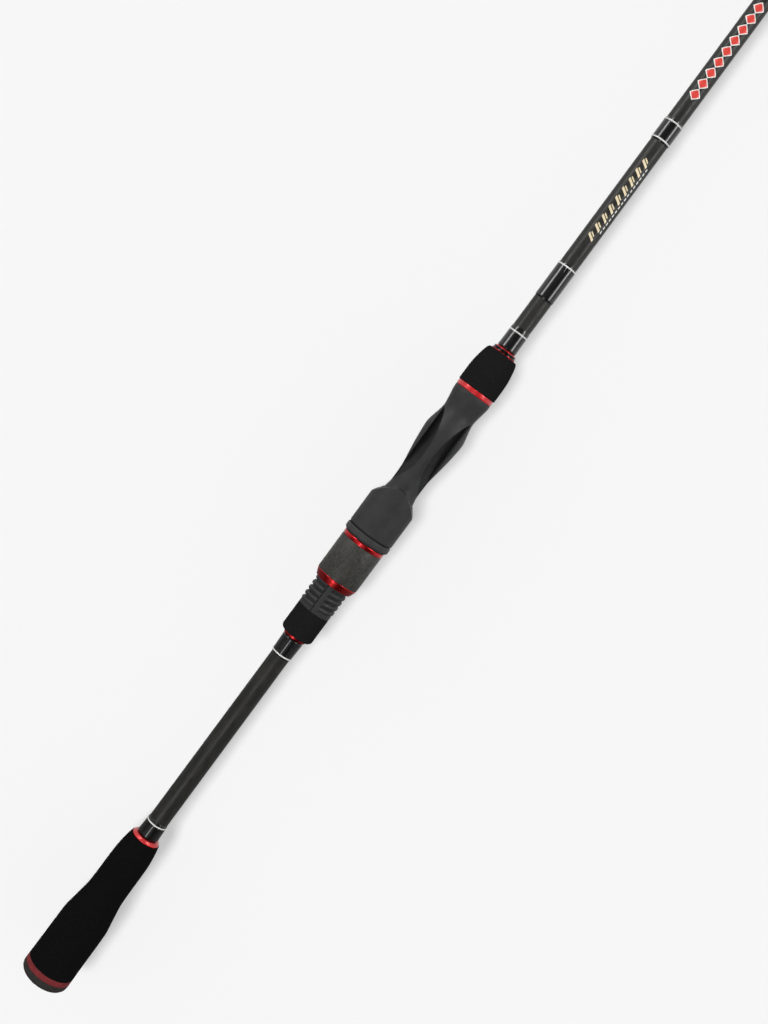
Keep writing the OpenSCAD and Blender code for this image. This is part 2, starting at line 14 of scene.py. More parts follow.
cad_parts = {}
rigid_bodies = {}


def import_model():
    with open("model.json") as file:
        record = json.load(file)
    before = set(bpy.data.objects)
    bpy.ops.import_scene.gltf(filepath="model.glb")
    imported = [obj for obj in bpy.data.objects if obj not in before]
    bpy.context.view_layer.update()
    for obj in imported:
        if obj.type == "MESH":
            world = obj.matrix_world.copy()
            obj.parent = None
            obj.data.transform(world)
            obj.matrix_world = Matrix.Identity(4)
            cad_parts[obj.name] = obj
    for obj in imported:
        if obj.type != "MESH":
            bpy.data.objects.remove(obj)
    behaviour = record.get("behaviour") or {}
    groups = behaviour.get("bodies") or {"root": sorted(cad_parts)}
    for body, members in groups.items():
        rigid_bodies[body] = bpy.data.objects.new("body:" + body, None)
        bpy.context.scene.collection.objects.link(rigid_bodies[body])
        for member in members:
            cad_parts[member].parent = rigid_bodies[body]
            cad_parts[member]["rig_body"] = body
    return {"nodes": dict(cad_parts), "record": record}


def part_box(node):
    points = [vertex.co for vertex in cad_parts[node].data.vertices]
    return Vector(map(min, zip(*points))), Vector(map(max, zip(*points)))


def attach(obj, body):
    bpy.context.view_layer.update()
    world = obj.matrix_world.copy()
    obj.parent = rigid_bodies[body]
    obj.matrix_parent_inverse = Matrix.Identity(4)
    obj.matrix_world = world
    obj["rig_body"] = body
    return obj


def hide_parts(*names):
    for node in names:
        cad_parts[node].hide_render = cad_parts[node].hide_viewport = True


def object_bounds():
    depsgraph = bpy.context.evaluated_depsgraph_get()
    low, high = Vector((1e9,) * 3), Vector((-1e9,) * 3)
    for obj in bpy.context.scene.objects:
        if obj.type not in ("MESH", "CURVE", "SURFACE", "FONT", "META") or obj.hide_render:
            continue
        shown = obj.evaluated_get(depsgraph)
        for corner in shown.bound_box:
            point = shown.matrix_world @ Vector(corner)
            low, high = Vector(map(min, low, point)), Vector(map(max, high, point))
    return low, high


MM = 0.001
UNDERSIDE = math.pi  # angles round the rod start at +Z and grow towards -Y

# ---- Frame and camera ----


def add_camera():
    """A 50 mm lens 0.77 m above the handle, rolled so that the rod runs up to the right."""
    place, target = Vector((0.4083, 0.0011, 0.7636)), Vector((0.3274, 0.0011, 0))
    roll = math.radians(53.55)
    back = (place - target).normalized()
    along = Vector((0, 1, 0)).cross(back)
    right = along * math.cos(roll) - Vector((0, math.sin(roll), 0))
    up = along * math.sin(roll) + Vector((0, math.cos(roll), 0))
    data = bpy.data.cameras.new("camera")
    data.lens = 50
    camera = bpy.data.objects.new("camera", data)
    camera.matrix_world = Matrix.Translation(place) @ Matrix((right, up, back)).transposed().to_4x4()
    bpy.context.scene.collection.objects.link(camera)
    bpy.context.scene.camera = camera


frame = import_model()
cad_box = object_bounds()
add_camera()
NODES = frame["nodes"]
SLOT_OF = {part["node"]: part["material_slot"] for part in frame["record"]["subparts"]}

# ---- Materials ----


class Look:
    """One material: a Principled shader, with colour, roughness and relief from procedural patterns."""

    def __init__(self, name, color, roughness, **sockets):
        self.material = bpy.data.materials.new(name)
        self.material.use_nodes = True
        tree = self.material.node_tree
        self.nodes, self.links = tree.nodes, tree.links
        self.shader = self.nodes["Principled BSDF"]
        self.place = self.nodes.new("ShaderNodeTexCoord").outputs["Object"]
        self.shader.inputs["Base Color"].default_value = (*color, 1)
        self.shader.inputs["Roughness"].default_value = roughness
        for socket, value in sockets.items():
            self.shader.inputs[socket.replace("_", " ")].default_value = value

    def stretched(self, scale):
        """The piece's own coordinates in millimetres, scaled along X, Y and Z."""
        mapping = self.nodes.new("ShaderNodeMapping")
        mapping.inputs["Scale"].default_value = [s / MM for s in scale]
        self.links.new(self.place, mapping.inputs["Vector"])
        return mapping.outputs["Vector"]

    def noise(self, size, stretch=(1, 1, 1), detail=3, distortion=0):
        """Noise with features of about size millimetres."""
        texture = self.nodes.new("ShaderNodeTexNoise")
        texture.inputs["Scale"].default_value = 1 / size
        texture.inputs["Detail"].default_value = detail
        texture.inputs["Distortion"].default_value = distortion
        self.links.new(self.stretched(stretch), texture.inputs["Vector"])
        return texture.outputs["Fac"]

    def cells(self, size):
        """Closed cells of about size millimetres."""
        texture = self.nodes.new("ShaderNodeTexVoronoi")
        texture.inputs["Scale"].default_value = 1 / size
        self.links.new(self.stretched((1, 1, 1)), texture.inputs["Vector"])
        return texture.outputs["Distance"]

    def ridges(self, pitch, direction="X"):
        """Even ridges that follow one another along an axis, pitch millimetres apart."""
        texture = self.nodes.new("ShaderNodeTexWave")
        texture.bands_direction = direction
        texture.inputs["Scale"].default_value = math.tau / 20 / pitch
        self.links.new(self.stretched((1, 1, 1)), texture.inputs["Vector"])
        return texture.outputs["Fac"]

    def spread(self, pattern, low, high, start=0.3, end=0.7):
        """Maps a pattern's middle range onto low to high."""
        node = self.nodes.new("ShaderNodeMapRange")
        node.inputs["From Min"].default_value = start
        node.inputs["From Max"].default_value = end
        node.inputs["To Min"].default_value = low
        node.inputs["To Max"].default_value = high
        self.links.new(pattern, node.inputs["Value"])
        return node.outputs["Result"]

    def tint(self, pattern, dark, light, start=0.3, end=0.7):
        """Colours the surface from dark to light with the pattern."""
        self.shader.inputs["Base Color"].default_value = (*dark, 1)
        return self.over(self.spread(pattern, 0, 1, start, end), light)

    def over(self, mask, color):
        """Lays a colour over the colour that is there, as far as the mask says."""
        mix = self.nodes.new("ShaderNodeMix")
        mix.data_type = "RGBA"
        below, above = (next(s for s in mix.inputs if s.name == n and s.type == "RGBA") for n in "AB")
        base = self.shader.inputs["Base Color"]
        if base.is_linked:
            self.links.new(base.links[0].from_socket, below)
        else:
            below.default_value = base.default_value
        above.default_value = (*color, 1)
        self.links.new(mask, mix.inputs[0])
        self.links.new(next(s for s in mix.outputs if s.type == "RGBA"), base)
        return self

    def paint_groove_shade(self, color):
        """Painted shade: grooves and inside corners take another, darker colour, where shade falls."""
        pointed = self.nodes.new("ShaderNodeNewGeometry").outputs["Pointiness"]
        # painted shade where pointiness is low: grooves and inside corners take the given colour
        return self.over(self.spread(pointed, 1, 0, 0.42, 0.47), color)

    def banded(self, start, end, color):
        """Another colour between two places along the rod, in millimetres."""
        split = self.nodes.new("ShaderNodeSeparateXYZ")
        self.links.new(self.stretched((1, 1, 1)), split.inputs["Vector"])
        inside = self.nodes.new("ShaderNodeMath")
        inside.operation = "COMPARE"
        inside.inputs[1].default_value = (start + end) / 2
        inside.inputs[2].default_value = (end - start) / 2
        self.links.new(split.outputs["X"], inside.inputs[0])
        return self.over(inside.outputs["Value"], color)

    def rough(self, pattern, low, high):
        """Lets the roughness follow the pattern from low to high."""
        self.links.new(self.spread(pattern, low, high), self.shader.inputs["Roughness"])
        return self

    def relief(self, pattern, height, strength=1.0):
        """Adds relief of height millimetres on top of the relief that is there already."""
        bump = self.nodes.new("ShaderNodeBump")
        bump.inputs["Distance"].default_value = height * MM
        bump.inputs["Strength"].default_value = strength
        self.links.new(pattern, bump.inputs["Height"])
        normal = self.shader.inputs["Normal"]
        if normal.is_linked:
            self.links.new(normal.links[0].from_socket, bump.inputs["Normal"])
        self.links.new(bump.outputs["Normal"], normal)
        return self


def eva_foam(name, dark, light):
    """Closed-cell foam: fine ground grain, scattered open cells and a dry surface."""
    look = Look(name, dark, 0.92, Specular_IOR_Level=0.02)
    look.tint(look.noise(0.9, detail=6), dark, light)
    look.relief(look.noise(3.5, detail=2), 0.12)
    look.relief(look.noise(0.35, detail=4), 0.1)
    return look.relief(look.cells(0.5), 0.06, 0.7)


def moulded(name, dark, light, roughness):
    """Glass-filled plastic with a fine spark-eroded grain, and painted shade in its grooves."""
    look = Look(name, dark, roughness, Specular_IOR_Level=0.3)
    look.tint(look.noise(5, detail=5), dark, light)
    # painted shade: grooves and inside corners go down to a fifth of the dark tone
    look.paint_groove_shade([c * 0.2 for c in dark])
    look.rough(look.noise(1.5), roughness - 0.05, roughness + 0.07)
    return look.relief(look.noise(0.22, detail=4), 0.03, 0.6)


def anodised(name, color, shade, roughness, metallic):
    """Turned aluminium with a dyed oxide layer: faint lathe marks round the piece."""
    look = Look(name, color, roughness, Metallic=metallic, Coat_Weight=0.35, Coat_Roughness=0.12)
    look.tint(look.noise(0.9, (1, 0.04, 0.04), detail=2), shade, color)
    look.rough(look.noise(0.6, (1, 0.05, 0.05)), roughness - 0.03, roughness + 0.05)
    return look.relief(look.noise(0.3, (1, 0.02, 0.02)), 0.003, 0.4)


def thread_under_epoxy(name, dark, light, metallic=0.0):
    """Winding thread laid side by side, below a thick clear coat."""
    coat = {"Coat_Weight": 0.8, "Coat_Roughness": 0.04}
    thread = 0.28
    look = Look(name, dark, 0.35, Metallic=metallic, Specular_IOR_Level=0.2, **coat)
    look.tint(look.ridges(thread), dark, light, 0.1, 0.9)
    return look.relief(look.ridges(thread), 0.05, 0.6)


def carbon_blank():
    """Rolled carbon cloth, sanded and matt: mottled olive grey with faint tape marks round it."""
    dark, light = (0.0100, 0.0098, 0.0086), (0.0205, 0.0199, 0.0170)
    look = Look("carbon_blank", dark, 0.42, Specular_IOR_Level=0.28)
    look.tint(look.noise(3.2, (0.35, 1, 1), detail=7, distortion=0.6), dark, light)
    look.rough(look.noise(2.2, (0.3, 1, 1), detail=5), 0.34, 0.52)
    look.relief(look.ridges(2.4), 0.018, 0.35)
    return look.relief(look.noise(0.4, (0.2, 1, 1), detail=4), 0.02, 0.35)


def marbled_sleeve():
    """Chopped carbon under lacquer: olive-grey swirls of several sizes."""
    dark, light = (0.0155, 0.0151, 0.0132), (0.0455, 0.0442, 0.0382)
    look = Look("nut_marble", dark, 0.45, Specular_IOR_Level=0.3)
    look.tint(look.noise(2.8, (0.8, 1, 1), detail=9, distortion=2.6), dark, light, 0.32, 0.68)
    look.rough(look.noise(2.6, detail=6, distortion=1.5), 0.38, 0.55)
    return look.relief(look.noise(1.2, detail=5, distortion=1.2), 0.02, 0.35)


def polished(name, color, roughness, **sockets):
    """Polished metal or ceramic with fine scratches."""
    look = Look(name, color, roughness, **sockets)
    look.rough(look.noise(0.6, detail=6), roughness - 0.05, roughness + 0.1)
    return look.relief(look.noise(0.15, detail=3), 0.004, 0.4)


def rubber(name, dark, light):
    """Dull moulded rubber with a cloudy tone."""
    look = Look(name, dark, 0.75, Specular_IOR_Level=0.25)
    look.tint(look.noise(2.5, detail=6), dark, light)
    return look.relief(look.noise(0.3, detail=4), 0.03, 0.6)


def paint(name, color):
    """Printed enamel under the blank's clear coat."""
    look = Look(name, color, 0.4, Coat_Weight=0.2, Coat_Roughness=0.25)
    shade = [c * 0.86 for c in color]
    return look.tint(look.noise(0.8, detail=4), shade, color)


ANODISED_RED = {
    "color": (0.66, 0.022, 0.023),
    "shade": (0.50, 0.010, 0.016),
    "roughness": 0.27,
    "metallic": 1.0,
}
LOOKS = {
    "rubber_cap": rubber("rubber_cap", (0.0165, 0.0145, 0.0130), (0.024, 0.0215, 0.0195)),
    "red_rubber_ring": rubber("red_rubber_ring", (0.125, 0.011, 0.013), (0.185, 0.018, 0.021)),
    "eva_black": eva_foam("eva_black", (0.0032, 0.0032, 0.0033), (0.0056, 0.0056, 0.0058)),
    "eva_charcoal": eva_foam("eva_charcoal", (0.0080, 0.0080, 0.0084), (0.0128, 0.0128, 0.0134)),
    "red_trim": anodised("red_trim", (0.60, 0.016, 0.018), (0.48, 0.008, 0.013), 0.3, 0.25),
    "red_anodised": anodised("red_anodised", **ANODISED_RED),
    "thread_wrap": thread_under_epoxy("thread_wrap", (0.0008, 0.0008, 0.0008), (0.0020, 0.0020, 0.0021)),
    "silver_trim": thread_under_epoxy("silver_trim", (0.66, 0.66, 0.65), (0.92, 0.92, 0.91), 0.1),
    "carbon_blank": carbon_blank(),
    "seat_plastic": moulded("seat_plastic", (0.0165, 0.0165, 0.0176), (0.0225, 0.0225, 0.0237), 0.55),
    "core_black": moulded("core_black", (0.0080, 0.0080, 0.0086), (0.0125, 0.0125, 0.0134), 0.75),
    "arbor": moulded("arbor", (0.42, 0.34, 0.19), (0.52, 0.43, 0.26), 0.8),
    "nut_plastic": moulded("nut_plastic", (0.018, 0.018, 0.019), (0.026, 0.026, 0.027), 0.5),
    "nut_marble": marbled_sleeve(),
    "collar_grey": moulded("collar_grey", (0.025, 0.025, 0.026), (0.032, 0.032, 0.033), 0.5),
    "guide_metal": polished("guide_metal", (0.16, 0.16, 0.17), 0.2, Metallic=1),
    "keeper_metal": polished("keeper_metal", (0.55, 0.55, 0.56), 0.18, Metallic=1),
    "ceramic": polished("ceramic", (0.012, 0.012, 0.014), 0.12, Coat_Weight=0.6),
}
PAINTS = {
    "cream": paint("paint_cream", (0.80, 0.68, 0.44)),
    "white": paint("paint_white", (0.82, 0.80, 0.76)),
    "red": paint("paint_red", (0.70, 0.045, 0.03)),
}

# ---- Meshes ----


def box_mm(node):
    """The lowest and the highest corner of a CAD node, in millimetres."""
    return [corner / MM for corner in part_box(node)]


def add_piece(name, parts, stands_for=(), body=None, look=None):
    """One object of one or more (points, faces) parts in millimetres, riding where its CAD node rides."""
    points, faces = [], []
    for part_points, part_faces in parts:
        faces += [[i + len(points) for i in face] for face in part_faces]
        points += part_points
    mesh = bpy.data.meshes.new(name)
    mesh.from_pydata([Vector(p) * MM for p in points], [], faces)
    mesh.validate()
    piece = bpy.data.objects.new(name, mesh)
    bpy.context.scene.collection.objects.link(piece)
    finish_mesh(mesh)
    node = stands_for[0] if stands_for else None
    mesh.materials.append((look or LOOKS[SLOT_OF[node]]).material)
    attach(piece, body or NODES[node]["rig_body"])
    if node:
        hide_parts(*stands_for)
    return piece


def finish_mesh(mesh):
    """Faces outwards, smooth except over edges sharper than 38 degrees."""
    shape = bmesh.new()
    shape.from_mesh(mesh)
    bmesh.ops.recalc_face_normals(shape, faces=shape.faces)
    shape.to_mesh(mesh)
    shape.free()
    mesh.shade_smooth()
    mesh.set_sharp_from_angle(angle=math.radians(38))


def turned(outline, segments=96, centre=(0, 0), shape=None):
    """The solid that a closed outline of (x, r) makes round the X axis, or round a centre (y, z).

    shape(x, r, angle) may give each point another radius.
    """
    points, faces, rings = [], [], []
    for x, r in outline:
        count = 1 if r < 1e-6 else segments
        rings.append([len(points) + k % count for k in range(segments + 1)])
        for k in range(count):
            angle = math.tau * k / segments
            radius = shape(x, r, angle) if shape else r
            points.append((x, centre[0] - radius * math.sin(angle), centre[1] + radius * math.cos(angle)))
    for i, ring in enumerate(rings):
        other = rings[(i + 1) % len(rings)]
        if ring[0] == ring[1] and other[0] == other[1]:
            continue
        for k in range(segments):
            corners = [ring[k], other[k], other[k + 1], ring[k + 1]]
            faces.append(list(dict.fromkeys(corners)))
    return points, faces


def rounded(outline, radius):
    """A closed outline with each corner sharper than 20 degrees rounded, in four steps."""
    result = []
    for i, corner in enumerate(outline):
        here = Vector(corner)
        before = Vector(outline[i - 1]) - here
        after = Vector(outline[(i + 1) % len(outline)]) - here
        if min(before.length, after.length) < 1e-6:
            continue
        turn = 180 - math.degrees(before.angle(after))
        if turn < 20 or corner[1] < 1e-6:
            result.append(corner)
            continue
        start = here + before.normalized() * min(radius, before.length * 0.45)
        end = here + after.normalized() * min(radius, after.length * 0.45)
        for k in range(5):
            t = k / 4
            result.append(tuple(start.lerp(here, t).lerp(here.lerp(end, t), t)))
    return result


def smoothed(points, steps):
    """The smooth curve through points, with steps points for each stretch."""
    result = []
    for i in range(len(points) - 1):
        a, b = Vector(points[max(i - 1, 0)]), Vector(points[i])
        c, d = Vector(points[i + 1]), Vector(points[min(i + 2, len(points) - 1)])
        for k in range(steps):
            t = k / steps
            bend = (a * 2 - b * 5 + c * 4 - d) * t * t + (b * 3 - a - c * 3 + d) * t**3
            result.append(tuple((b * 2 + (c - a) * t + bend) / 2))
    return result + [tuple(points[-1])]


def outline_of(node):
    """The outer and the inner outline, as (x, r) in millimetres, of a CAD node that is turned."""
    outer, inner = {}, {}
    for vertex in NODES[node].data.vertices:
        x, y, z = vertex.co / MM
        outwards = vertex.normal.y * y + vertex.normal.z * z
        r = math.hypot(y, z)
        if outwards > 0.02 * r:
            outer[round(x, 3)] = max(outer.get(round(x, 3), 0), r)
        elif outwards < -0.02 * r:
            inner[round(x, 3)] = min(inner.get(round(x, 3), r), r)
    return sorted(outer.items()), sorted(inner.items())


def section(node, edge, smoothing=0, step=None):
    """A turned CAD node's closed outline with rounded edges, and smooth where it was in short straights."""
    outer, inner = outline_of(node)
    if smoothing:
        outer = smoothed(outer, smoothing)
    outline = rounded(outer + inner[::-1], edge)
    return divided(outline, step) if step else outline


def divided(outline, step):
    """The outline with its long stretches divided into steps."""
    result = []
    for i, point in enumerate(outline):
        other = outline[(i + 1) % len(outline)]
        count = max(1, round(math.dist(point, other) / step))
        result += [tuple(Vector(point).lerp(Vector(other), k / count)) for k in range(count)]
    return result


def swept(path, widths, heights):
    """A bar along a path of points, elliptical in section, with a width and a height at each point."""
    segments = 20
    points, faces = [], []
    across = Vector((0, 1, 0))
    for i, place in enumerate(path):
        ahead = Vector(path[min(i + 1, len(path) - 1)]) - Vector(path[max(i - 1, 0)])
        across = (across - across.project(ahead)).normalized()
        upright = ahead.normalized().cross(across)
        for k in range(segments):
            angle = math.tau * k / segments
            spot = Vector(place) + across * (widths[i] / 2 * math.cos(angle))
            points.append(tuple(spot + upright * (heights[i] / 2 * math.sin(angle))))
    for i in range(len(path) - 1):
        for k in range(segments):
            a, b = i * segments + k, i * segments + (k + 1) % segments
            faces.append([a, b, b + segments, a + segments])
    faces.append(list(range(segments))[::-1])
    faces.append(list(range(len(points) - segments, len(points))))
    return points, faces


def fuse(piece, voxel, rounds):
    """Melts a piece's parts into one skin with voxels of a size in millimetres, and rounds its edges."""
    remesh = piece.modifiers.new("fuse", "REMESH")
    remesh.mode = "VOXEL"
    remesh.voxel_size = voxel * MM
    soften = piece.modifiers.new("soften", "SMOOTH")
    soften.factor = 0.5
    soften.iterations = rounds
    evaluated = piece.evaluated_get(bpy.context.evaluated_depsgraph_get())
    mesh = bpy.data.meshes.new_from_object(evaluated)
    piece.modifiers.clear()
    piece.data = mesh
    mesh.shade_smooth()


def skin_of(node, name, voxel, rounds):
    """A detailed piece over a CAD node's own shape, with its sharp edges rounded as moulding rounds them."""
    shape = bmesh.new()
    shape.from_mesh(NODES[node].data)
    bmesh.ops.remove_doubles(shape, verts=shape.verts, dist=0.002 * MM)
    mesh = bpy.data.meshes.new(name)
    shape.to_mesh(mesh)
    shape.free()
    piece = bpy.data.objects.new(name, mesh)
    bpy.context.scene.collection.objects.link(piece)
    fuse(piece, voxel, rounds)
    piece.data.materials.clear()
    piece.data.materials.append(LOOKS[SLOT_OF[node]].material)
    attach(piece, NODES[node]["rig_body"])
    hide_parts(node)


def dress(node):
    """A CAD node whose shape is right keeps its mesh and gets its own look."""
    materials = NODES[node].data.materials
    materials.clear()
    materials.append(LOOKS[SLOT_OF[node]].material)


# ---- Grips and trim ----


def add_butt_cap():
    """Moulded cap: a domed edge, a shallow dish in its end and two grooves round it."""
    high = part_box("butt_cap")[1]
    length, radius = high.x / MM, high.z / MM
    blank_r = outline_of("butt_cap")[1][0][1]
    edge_r = 4
    arc = [math.radians(a) for a in range(0, 91, 9)]
    dome = [(edge_r * (1 - math.cos(a)), radius - edge_r * (1 - math.sin(a))) for a in arc]
    grooves = [(0, 9.1), (0.35, 8.9), (0.35, 8.5), (0, 8.3), (0, 7.7), (0.35, 7.5), (0.35, 7.1), (0, 6.9)]
    dish = [(0.6, 0), (0.6, 4.6), (0, 5.4)]
    outline = dish + grooves[::-1] + dome + [(length, radius), (length, blank_r), (3, blank_r), (3, 0)]
    add_piece("butt_cap_moulding", [turned(rounded(outline, 0.15), 128)], ["butt_cap"])


def foam_shape(depth):
    """Ground foam is never quite true: a radius that wanders by depth millimetres."""

    def shape(x, r, angle):
        spot = Vector((x, r * math.sin(angle), r * math.cos(angle)))
        return r + depth * (noise.noise(spot / 7) + 0.5 * noise.noise(spot / 2.2))

    return shape


def add_foam(name, node, slot, edge, segments):
    """A ground foam grip."""
    outline = section(node, edge, smoothing=2, step=0.9)
    parts = [turned(outline, segments, shape=foam_shape(0.035))]
    foam = add_piece(name, parts, [node], look=LOOKS[slot])


def add_trim(name, node, edge, look=None):
    """A turned ring with its edges broken."""
    add_piece(name, [turned(section(node, edge), 128)], [node], look=look)


def add_fore_grip_check():
    """The winding check in front of the fore grip: two thin red lines, and painted shade in near black over
    the middle of the ring, round its groove.
    """
    low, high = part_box("fore_grip_check")
    look = anodised("two_line_check", **ANODISED_RED)
    # painted shade: the middle of the ring, round the groove between the two red edges, is coloured near
    # black
    look.banded(low.x / MM + 0.45, high.x / MM - 0.5, (0.006, 0.006, 0.006))
    add_trim("fore_grip_red_check", "fore_grip_check", 0.2, look=look)


def add_bands(name, node):
    """Silver bands: each is four turns of thread side by side."""
    outer, inner = (dict(outline) for outline in outline_of(node))
    edges = sorted(inner)
    bands = []
    for start, end in zip(edges[::2], edges[1::2]):
        thread = (end - start) / 4
        height = 0.12
        top = outer[start] - height / 2
        crowns = [
            (start + thread * (turn + k / 5), top + height * math.sin(math.pi * k / 5))
            for turn in range(4)
            for k in range(5)
        ]
        bands.append(turned(crowns + [(end, top), (end, inner[end]), (start, inner[start])]))
    add_piece(name, bands, [node])


def add_wrap(name, node, step=1.2, shape=None):
    """A thread wrap: one bead of epoxy that swells from the blank at both ends."""
    outer, inner = outline_of(node)
    bead = smoothed([inner[0]] + outer + [inner[-1]], 4)
    add_piece(name, [turned(divided(bead, step), shape=shape)], [node])


add_butt_cap()
add_trim("butt_cap_red_ring", "butt_cap_ring", 0.35)
add_foam("rear_grip_foam", "rear_grip", "eva_black", 0.5, 144)
add_trim("rear_grip_red_check", "rear_grip_check", 0.3)
add_foam("seat_rear_sleeve_foam", "seat_rear_sleeve", "eva_charcoal", 0.4, 112)
add_trim("seat_rear_red_check", "seat_rear_check", 0.15)
add_foam("fore_grip_foam", "fore_grip", "eva_charcoal", 0.5, 128)
add_fore_grip_check()
add_trim("seat_front_red_ring", "seat_front_ring", 0.3)
add_bands("silver_bands", "trim_bands")
add_bands("ferrule_silver_band", "ferrule_band")
for wrap in ["rear_grip_wrap", "seat_rear_wrap", "fore_grip_wrap", "accent_wrap",
             "ferrule_wrap", "tip_top_wrap"]:
    add_wrap(wrap + "_epoxy", wrap)

# ---- Blanks ----

add_piece("butt_blank_tube", [turned(divided(section("butt_blank", 0.2), 12), 72)], ["butt_blank"])
add_piece("tip_blank_tube", [turned(divided(section("tip_blank", 0.15), 12), 64)], ["tip_blank"])

# ---- Reel seat ----


def add_thread_barrel():
    """The barrel with its round-topped right-hand thread, and a smooth strip for the hood's key on top."""
    outer, inner = outline_of("thread_barrel")
    start, end = inner[0][0], inner[-1][0]
    crest = max(r for x, r in outer)
    pitch, ridge_half, first_ridge = 3.4, 1.4, start + 3.5
    groove_depth, strip_depth, seam_depth = 1.15, 0.4, 1.1
    plain_r = crest - 0.45
    strip_edge = math.radians(8.2)

    def thread(x, r, angle):
        """The ridges, which fade out at the rear end and beside the strip, and a seam along the strip."""
        if r < crest - 0.01:
            return r
        off = min(angle, math.tau - angle)
        if off < strip_edge:
            return crest - strip_depth
        if angle > math.pi and off < strip_edge * 1.25:
            return crest - seam_depth
        place = (x - first_ridge - pitch * angle / math.tau + pitch / 2) % pitch - pitch / 2
        crown = math.sqrt(1 - min(1, abs(place) / ridge_half) ** 2)
        beside_strip = min(1, (off - strip_edge) / math.radians(3))
        lead_in = min(1, max(0, (x - start - 2) / 0.8))
        return plain_r + (crest + groove_depth * (crown - 1) - plain_r) * beside_strip * lead_in

    always_hidden = 296  # from here on the nut or the hood covers the barrel
    fine, coarse = 0.2, 0.5
    steps = [start + fine * k for k in range(round((always_hidden - start) / fine))]
    steps += [always_hidden + coarse * k for k in range(round((end - always_hidden) / coarse))] + [end]
    outline = [(x, crest) for x in steps] + [(end, inner[-1][1]), (start, inner[0][1])]
    add_piece("thread_barrel_turned", [turned(outline, 288, shape=thread)], ["thread_barrel"])


def add_core():
    """The seat's dark liner, a little flattened where it shows through the windows."""
    outline = section("seat_core", 0.2)
    outside = max(r for x, r in outline)

    def flattened(x, r, angle):
        return r - 0.9 * math.sin(2 * angle) ** 2 if r > outside - 0.3 else r

    add_piece("seat_core_tube", [turned(outline, 128, shape=flattened)], ["seat_core"])


add_thread_barrel()
skin_of("reel_seat_body", "reel_seat_shell", 0.2, 6)
skin_of("moving_hood", "moving_hood_shell", 0.2, 6)
add_core()
add_trim("nut_marbled_sleeve", "nut_barrel", 0.25)
add_trim("nut_rear_red_ring", "nut_rear_ring", 0.2)
add_trim("nut_front_red_ring", "nut_front_ring", 0.2)
add_trim("hood_collar_ring", "hood_collar", 0.2)
for plain in ["lock_nut", "nut_retainer", "barrel_arbors", "core_arbors"]:
    dress(plain)

# ---- Hook keeper, line guides and tip-top ----

FOOT_HEIGHT = 0.8
FOOT_LENGTH = 11
BLANKS = {"rod": outline_of("butt_blank")[0], "tip_section": outline_of("tip_blank")[0]}


def blank_radius(body, x):
    """Radius of the blank that a body carries, at x."""
    line = BLANKS[body]
    for (x0, r0), (x1, r1) in zip(line, line[1:]):
        if x <= x1:
            return r0 + (r1 - r0) * (x - x0) / (x1 - x0)
    return line[-1][1]


def add_hook_keeper():
    """One wire, of two flattened feet and a half round loop, and the wrap over its feet."""
    low, high = box_mm("hook_keeper")
    loop_r, wire = 3, 0.9
    middle, level = (low.x + high.x) / 2, low.z + loop_r + wire / 2
    arc = [math.radians(a) for a in range(0, 181, 12)]
    loop = [(middle - loop_r * math.cos(a), 0, level - loop_r * math.sin(a)) for a in arc]
    path = [(low.x, 0, level), (low.x + 3, 0, level)] + loop + [(high.x - 3, 0, level), (high.x, 0, level)]
    widths = [wire * 1.5, wire * 1.3] + [wire] * len(loop) + [wire * 1.3, wire * 1.5]
    heights = [wire * 0.5, wire * 0.8] + [wire] * len(loop) + [wire * 0.8, wire * 0.5]
    add_piece("hook_keeper_wire", [swept(path, widths, heights)], ["hook_keeper"])

    swell, half_width, full_depth = 0.75, 1.8, 0.25

    def over_feet(x, r, angle):
        """The bead swells over the feet and not round the loop, and its inside stays on the blank."""
        depth = min(1, max(0, (r - blank_radius("rod", x)) / full_depth))
        across = math.cos(math.pi / 2 * min(1, abs(angle - UNDERSIDE) * r / half_width)) ** 0.7
        along = min(abs(x - middle) - loop_r + 0.4, x - low.x + 1, high.x + 1 - x)
        return r + swell * depth * across * min(1, max(0, along))

    add_wrap("keeper_wrap_epoxy", "keeper_wrap", step=0.4, shape=over_feet)


def ring_holder(x, z, ring_r):
    """The rolled steel rim round a ceramic ring."""
    rim = [(x - 0.6, ring_r - 0.02), (x - 0.6, ring_r + 0.55), (x, ring_r + 0.8), (x + 0.6, ring_r + 0.55),
           (x + 0.6, ring_r - 0.02)]
    return turned(rounded(rim, 0.25), 96, centre=(0, z))


def leg(points, width, height):
    """A wire of one thickness along the smooth curve through points."""
    path = smoothed(points, 6)
    return swept(path, [width] * len(path), [height] * len(path))


def add_ring(node, name):
    """A ceramic ring, round where the line runs over it."""
    low, high = box_mm(node)
    x, z, ring_r = (low.x + high.x) / 2, (low.z + high.z) / 2, high.y
    half = (high.x - low.x) / 2
    bore = 0.76 * ring_r
    depth = min(ring_r - 0.3 - bore, half * 1.1)
    arc = [math.radians(a) for a in range(0, 181, 15)]
    inside = [(x + half * math.cos(a), bore + depth * (1 - math.sin(a))) for a in arc]
    outside = [(x - half, ring_r - 0.25), (x - half + 0.25, ring_r), (x + half - 0.25, ring_r),
               (x + half, ring_r - 0.25)]
    add_piece(name, [turned(inside + outside, 96, centre=(0, z))], [node])
    return x, z, ring_r


def guide_foot(x_bend, x_end, level):
    """A flat foot under the blank, ground thin towards its end."""
    share = [0, 0.3, 0.6, 0.85, 1]
    path = [(x_bend + (x_end - x_bend) * t, 0, level + 0.25 * t * t) for t in share]
    return swept(path, [2.2, 2.2, 2.0, 1.5, 0.9], [0.85, 0.8, 0.7, 0.5, 0.35])


